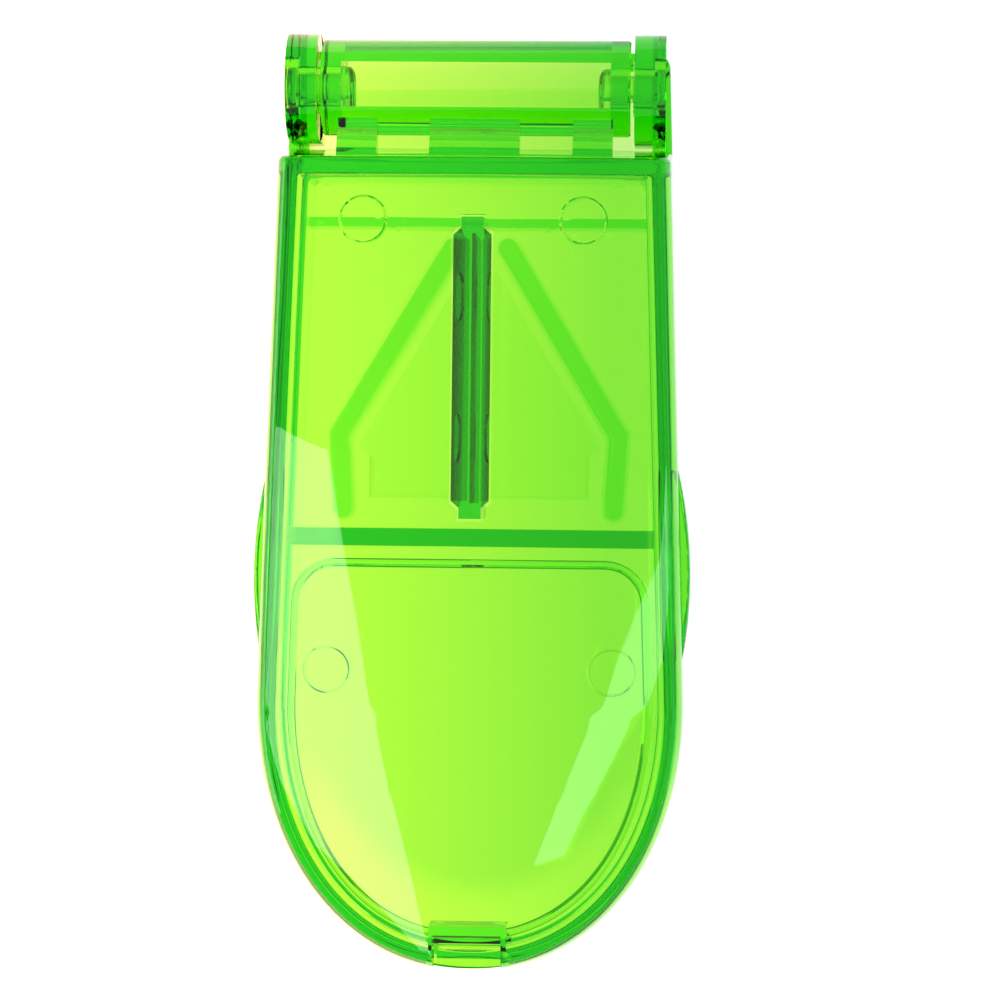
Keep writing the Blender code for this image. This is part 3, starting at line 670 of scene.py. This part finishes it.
def barrel_changes():
    """The hinge barrel behind the lid, its bridge and gussets, the pocket and the pin holes."""
    end = BARREL_HALF_LENGTH
    changes = [("UNION", bar("barrel", BARREL_RADIUS, -end, end, chamfer=0.15 * MM))]
    bridge = block(
        "bridge",
        (-BRIDGE_HALF_LENGTH, REAR_Y - 1.9 * MM, 14.6 * MM),
        (BRIDGE_HALF_LENGTH, HINGE_Y - 2.4 * MM, 16.2 * MM),
    )
    changes.append(("UNION", bridge))
    for middle, half in GUSSETS:
        gusset_side = (
            (REAR_Y - 2 * MM, 15 * MM),
            (HINGE_Y - 3 * MM, 15 * MM),
            (HINGE_Y - 3 * MM, 16.6 * MM),
            (REAR_Y - 1.2 * MM, 18.2 * MM),
            (REAR_Y - 2 * MM, 18.2 * MM),
        )
        gusset = side_prism("gusset", gusset_side, middle - half, middle + half)
        changes.append(("UNION", gusset))
    pocket = block(
        "barrel_pocket",
        (-POCKET_HALF_LENGTH, HINGE_Y - POCKET_HALF_WIDTH, HINGE_Z - POCKET_BELOW_HINGE),
        (POCKET_HALF_LENGTH, HINGE_Y + POCKET_HALF_WIDTH, HINGE_Z + POCKET_ABOVE_HINGE),
    )
    changes.append(("DIFFERENCE", pocket))
    for side in (-1, 1):
        start_x, end_x = side * PIN_INNER_END, side * 15 * MM
        hole = bar("barrel_hole", PIN_RADIUS + PIN_CLEARANCE, start_x, end_x)
        changes.append(("DIFFERENCE", hole))
    return changes


def holder_outline(half_width, grow):
    """Plan of the blade holder: chamfered corners and a narrower tongue at each end."""
    tongue = HOLDER_TONGUE_HALF_WIDTH + grow
    rear, front = HOLDER_REAR_Y + grow, HOLDER_FRONT_Y - grow
    right = (
        (tongue, rear + HOLDER_TONGUE),
        (tongue, rear),
        (half_width, rear - HOLDER_CHAMFER),
        (half_width, front + HOLDER_CHAMFER),
        (tongue, front),
        (tongue, front - HOLDER_TONGUE),
    )
    return mirrored(right)


def make_holder():
    """The holder under the lid, moulded solid round the blade's upper half."""
    rings = []
    for z, half_width in (
        (HOLDER_BOTTOM, HOLDER_FOOT_HALF_WIDTH),
        (HOLDER_WAIST_Z, HOLDER_WAIST_HALF_WIDTH),
        (HOLDER_TOP, HOLDER_HALF_WIDTH),
    ):
        rings.append([(x, y, z) for x, y in holder_outline(half_width, 0)])
    return loft("holder_clear", rings, None)


def make_pin(side, label):
    """A headed pin with a domed inner end."""
    outer = side * EAR_OUTSIDE
    neck, end = outer - side * PIN_HEAD, side * PIN_INNER_END
    profile = [(outer, PIN_HEAD_RADIUS - 0.1 * MM), (outer - side * 0.1 * MM, PIN_HEAD_RADIUS)]
    profile += [(neck, PIN_HEAD_RADIUS), (neck, PIN_RADIUS)]
    for step in range(FILLET_STEPS + 1):
        turn = math.pi / 2 * step / FILLET_STEPS * 0.95  # leaves a small flat at the end
        radius = PIN_RADIUS - PIN_DOME * (1 - math.cos(turn))
        profile.append((end + side * PIN_DOME * (1 - math.sin(turn)), radius))
    return turned(f"pin_{label}_clear", profile, None)


def smooth(piece):
    """Smooth shading that keeps sharp edges sharp and flat faces flat."""
    mesh = piece.data
    mesh.shade_smooth()
    mesh.set_sharp_from_angle(angle=SHARP_ANGLE)
    modifier = piece.modifiers.new("flat_faces_stay_flat", "WEIGHTED_NORMAL")
    modifier.mode = "FACE_AREA"
    modifier.weight = 100
    modifier.keep_sharp = True


def socket(node, name, value):
    node.inputs[name].default_value = value


def clear_plastic(name):
    """Tinted clear plastic: refraction, tint by depth, mould waviness and fine handling marks."""
    material = bpy.data.materials.new(name)
    material.use_nodes = True
    tree = material.node_tree
    nodes, links = tree.nodes, tree.links
    shader = nodes["Principled BSDF"]
    socket(shader, "Base Color", (1, 1, 1, 1))
    socket(shader, "IOR", PLASTIC_IOR)
    socket(shader, "Transmission Weight", 1)

    coordinates = nodes.new("ShaderNodeTexCoord")
    wave = nodes.new("ShaderNodeTexNoise")
    socket(wave, "Scale", 90)
    socket(wave, "Detail", 1)
    links.new(coordinates.outputs["Object"], wave.inputs["Vector"])
    bump = nodes.new("ShaderNodeBump")
    socket(bump, "Strength", 0.012)
    socket(bump, "Distance", 0.001)
    links.new(wave.outputs["Fac"], bump.inputs["Height"])
    links.new(bump.outputs["Normal"], shader.inputs["Normal"])

    marks = nodes.new("ShaderNodeTexNoise")
    socket(marks, "Scale", 260)
    socket(marks, "Detail", 4)
    links.new(coordinates.outputs["Object"], marks.inputs["Vector"])
    haze = nodes.new("ShaderNodeMapRange")
    socket(haze, "From Min", 0.45)
    socket(haze, "From Max", 0.8)
    socket(haze, "To Min", 0.0)
    socket(haze, "To Max", 0.06)
    links.new(marks.outputs["Fac"], haze.inputs["Value"])
    links.new(haze.outputs["Result"], shader.inputs["Roughness"])

    tint = nodes.new("ShaderNodeVolumeAbsorption")
    socket(tint, "Color", (*(1 - taken / PLASTIC_DENSITY for taken in PLASTIC_TAKES), 1))
    socket(tint, "Density", PLASTIC_DENSITY)
    links.new(tint.outputs["Volume"], nodes["Material Output"].inputs["Volume"])
    return material


def blade_steel():
    """Cold-rolled stainless steel with fine lines along the blade."""
    material = bpy.data.materials.new("blade_steel")
    material.use_nodes = True
    tree = material.node_tree
    nodes, links = tree.nodes, tree.links
    shader = nodes["Principled BSDF"]
    socket(shader, "Metallic", 1)
    coordinates = nodes.new("ShaderNodeTexCoord")
    stretch = nodes.new("ShaderNodeMapping")
    socket(stretch, "Scale", (600, 60, 9000))
    links.new(coordinates.outputs["Object"], stretch.inputs["Vector"])
    lines = nodes.new("ShaderNodeTexNoise")
    socket(lines, "Scale", 1)
    socket(lines, "Detail", 3)
    links.new(stretch.outputs["Vector"], lines.inputs["Vector"])
    tone = nodes.new("ShaderNodeValToRGB")
    tone.color_ramp.elements[0].position = 0.3
    tone.color_ramp.elements[0].color = (*STEEL_DARK, 1)
    tone.color_ramp.elements[1].position = 0.7
    tone.color_ramp.elements[1].color = (*STEEL_PALE, 1)
    links.new(lines.outputs["Fac"], tone.inputs["Fac"])
    links.new(tone.outputs["Color"], shader.inputs["Base Color"])
    gloss = nodes.new("ShaderNodeMapRange")
    socket(gloss, "To Min", 0.18)
    socket(gloss, "To Max", 0.36)
    links.new(lines.outputs["Fac"], gloss.inputs["Value"])
    links.new(gloss.outputs["Result"], shader.inputs["Roughness"])
    return material


def place(piece, body, node, material):
    """Gives a rebuilt moulding its looks, and lets it stand for its CAD node."""
    smooth(piece)
    piece.data.materials.clear()
    piece.data.materials.append(material)
    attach(piece, body)
    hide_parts(node)


def make_pieces():
    """Every moulding in place of its CAD node, and steel on the blade's own node."""
    plastic = clear_plastic("green_plastic")
    place(make_tray(), "tray", "base_tray", plastic)
    place(make_lid(), "lid", "lid", plastic)
    place(make_holder(), "lid", "blade_holder", plastic)
    place(make_pin(-1, "left"), "tray", "hinge_pin_left", plastic)
    place(make_pin(1, "right"), "tray", "hinge_pin_right", plastic)
    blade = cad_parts["blade"]
    steel = blade_steel()
    for slot in blade.material_slots:
        slot.material = steel


def area_light(name, position, size, radiance, colour, turn=(0, 0, 0)):
    """A soft box that faces down, then turned by degrees. radiance is what a mirror would show."""
    data = bpy.data.lights.new(name, "AREA")
    data.shape = "RECTANGLE"
    data.size, data.size_y = size
    data.energy = radiance * math.pi * size[0] * size[1]
    data.color = colour
    made = bpy.data.objects.new(name, data)
    bpy.context.scene.collection.objects.link(made)
    made.location = position
    made.rotation_euler = [math.radians(angle) for angle in turn]


def painted_caustic_mask(tree, coordinates, parts):
    """Mask of the painted caustic: how strongly the lid's round end would gather light on the
    table, as a node output.
    """
    nodes, links = tree.nodes, tree.links
    ellipse = nodes.new("ShaderNodeMapping")
    ellipse.vector_type = "TEXTURE"
    socket(ellipse, "Location", (0, ROUND_Y, 0))
    socket(ellipse, "Scale", (ROUND_HALF_WIDTH, ROUND_Y - TIP_Y, 1))
    links.new(coordinates.outputs["Object"], ellipse.inputs["Vector"])
    length = nodes.new("ShaderNodeVectorMath")
    length.operation = "LENGTH"
    links.new(ellipse.outputs["Vector"], length.inputs[0])
    outward = nodes.new("ShaderNodeMapRange")
    outward.interpolation_type = "SMOOTHSTEP"
    socket(outward, "From Min", PAINTED_CAUSTIC_REACH[0])
    socket(outward, "From Max", PAINTED_CAUSTIC_REACH[1])
    links.new(length.outputs["Value"], outward.inputs["Value"])
    forward = nodes.new("ShaderNodeMapRange")
    forward.interpolation_type = "SMOOTHSTEP"
    socket(forward, "From Min", PAINTED_CAUSTIC_Y[0])
    socket(forward, "From Max", PAINTED_CAUSTIC_Y[1])
    links.new(parts.outputs["Y"], forward.inputs["Value"])
    both = nodes.new("ShaderNodeMath")
    both.operation = "MULTIPLY"
    links.new(outward.outputs["Result"], both.inputs[0])
    links.new(forward.outputs["Result"], both.inputs[1])
    return both.outputs["Value"]


def make_world():
    """An even white sky for the reflections."""
    world = bpy.data.worlds.new("studio")
    bpy.context.scene.world = world
    world.use_nodes = True
    background = world.node_tree.nodes["Background"]
    socket(background, "Color", (1, 1, 1, 1))
    socket(background, "Strength", 0.5)


def table_white():
    """Paint that glows white, with a painted pool of warm light under the left side and a painted
    caustic where the clear plastic would gather light.
    """
    paint = bpy.data.materials.new("table_white")
    paint.use_nodes = True
    tree = paint.node_tree
    nodes, links = tree.nodes, tree.links
    shader = nodes["Principled BSDF"]
    socket(shader, "Base Color", (0.04, 0.04, 0.04, 1))
    socket(shader, "Roughness", 0.9)
    socket(shader, "Specular IOR Level", 0)
    socket(shader, "Emission Strength", 1)
    coordinates = nodes.new("ShaderNodeTexCoord")
    parts = nodes.new("ShaderNodeSeparateXYZ")
    links.new(coordinates.outputs["Object"], parts.inputs["Vector"])
    # painted light: the table glows warmer towards the left, as if a warm lamp lit it from there
    across = nodes.new("ShaderNodeMapRange")
    socket(across, "From Min", PAINTED_LIGHT_FROM_X)
    socket(across, "From Max", PAINTED_LIGHT_TO_X)
    links.new(parts.outputs["X"], across.inputs["Value"])
    painted_light_ramp = nodes.new("ShaderNodeValToRGB")
    painted_light_ramp.color_ramp.elements[0].color = (*PAINTED_WARM_LIGHT, 1)
    painted_light_ramp.color_ramp.elements[1].color = (1, 1, 1, 1)
    links.new(across.outputs["Result"], painted_light_ramp.inputs["Fac"])
    # painted caustic: the table glows brighter and tinted under the lid's round end
    with_painted_caustic = nodes.new("ShaderNodeMix")
    with_painted_caustic.data_type = "RGBA"
    with_painted_caustic.blend_type = "MULTIPLY"
    with_painted_caustic.inputs["B"].default_value = (*PAINTED_CAUSTIC_TINT, 1)
    links.new(painted_caustic_mask(tree, coordinates, parts), with_painted_caustic.inputs["Factor"])
    links.new(painted_light_ramp.outputs["Color"], with_painted_caustic.inputs["A"])
    links.new(with_painted_caustic.outputs["Result"], shader.inputs["Emission Color"])
    return paint


def make_table():
    """The white table that the splitter lies on."""
    floor_mesh = bmesh.new()
    bmesh.ops.create_grid(floor_mesh, x_segments=1, y_segments=1, size=3)
    floor = add_object(floor_mesh, "table")
    floor.data.materials.append(table_white())


def make_lights():
    """Two soft boxes above, whose reflections lie on the round end, and one at each side."""
    white, pale_teal, teal = (1, 1, 1), (0.8, 1, 1), (0.2, 0.9, 0.8)
    area_light("soft_left", (-0.245, -0.165, 0.55), (0.195, 0.33), 4.0, white)
    area_light("soft_right", (0.16, -0.14, 0.55), (0.055, 0.25), 3.0, pale_teal, (0, 0, -14))
    area_light("fill_right", (0.5, 0, 0.35), (0.3, 0.6), 0.8, teal, (0, 55, 0))
    area_light("side_left", (-0.5, 0, 0.16), (0.3, 0.6), 3.0, white, (0, -72, 0))


def make_camera():
    """Above the right-hand edge, as the photograph is taken, and turned to look at the middle."""
    data = bpy.data.cameras.new("camera")
    camera = bpy.data.objects.new("camera", data)
    bpy.context.scene.collection.objects.link(camera)
    bpy.context.scene.camera = camera
    distance = 0.33
    subject_z = 0.01
    field = 91.7 * MM
    centre = (2.3 * MM, 0.46 * MM)
    nadir = (17 * MM, 1.4 * MM)
    camera.location = (*nadir, subject_z + distance)
    lean_x = math.atan2(centre[1] - nadir[1], distance)
    lean_y = -math.atan2(centre[0] - nadir[0], distance)
    camera.rotation_euler = (lean_x, lean_y, math.radians(0.64))
    data.sensor_width = 36
    data.lens = data.sensor_width * distance / field


make_pieces()
make_world()
make_table()
make_lights()
make_camera()

scene = bpy.context.scene
scene.view_settings.view_transform = "Standard"
scene.cycles.max_bounces = 32
scene.cycles.transmission_bounces = 32
scene.cycles.transparent_max_bounces = 16
scene.cycles.glossy_bounces = 12
